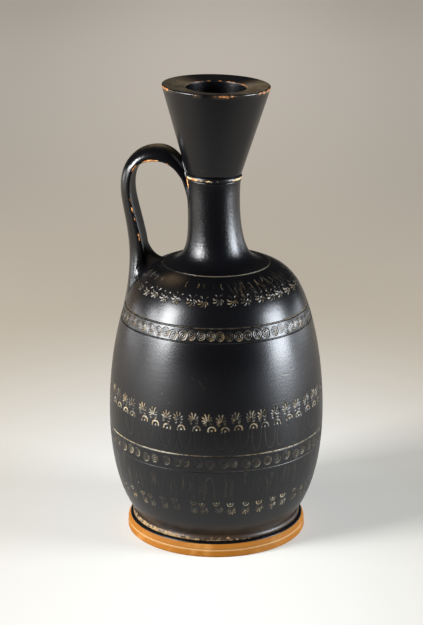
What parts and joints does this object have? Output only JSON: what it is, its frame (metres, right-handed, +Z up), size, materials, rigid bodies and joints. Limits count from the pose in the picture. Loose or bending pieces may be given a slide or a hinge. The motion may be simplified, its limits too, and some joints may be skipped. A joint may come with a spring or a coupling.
{
  "type": "lekythos oil bottle",
  "caption": "Black-gloss oil bottle with an ovoid stamped body, narrow neck, tall conical mouth, one strap handle and a reserved clay ring foot.",
  "frame": {"origin": "centre of the foot's resting ring, on the surface the pot stands on", "axes": "+Z up along the axis of turning, -X towards the handle"},
  "size_m": [0.0942, 0.0942, 0.2005],
  "materials": {
    "black_gloss": "semi-gloss black slip, worn to clay on the edges",
    "reserved_clay": "bare orange clay, matt",
    "luting_clay": "clay under thin worn slip"
  },
  "bodies": {
    "root": {"foot": "reserved_clay", "foot_luting": "luting_clay", "body": "black_gloss", "neck_luting": "luting_clay", "neck": "black_gloss", "mouth_luting": "luting_clay", "mouth": "black_gloss", "handle": "black_gloss", "handle_top_luting": "black_gloss", "handle_root_luting": "black_gloss"}
  },
  "joints": []
}
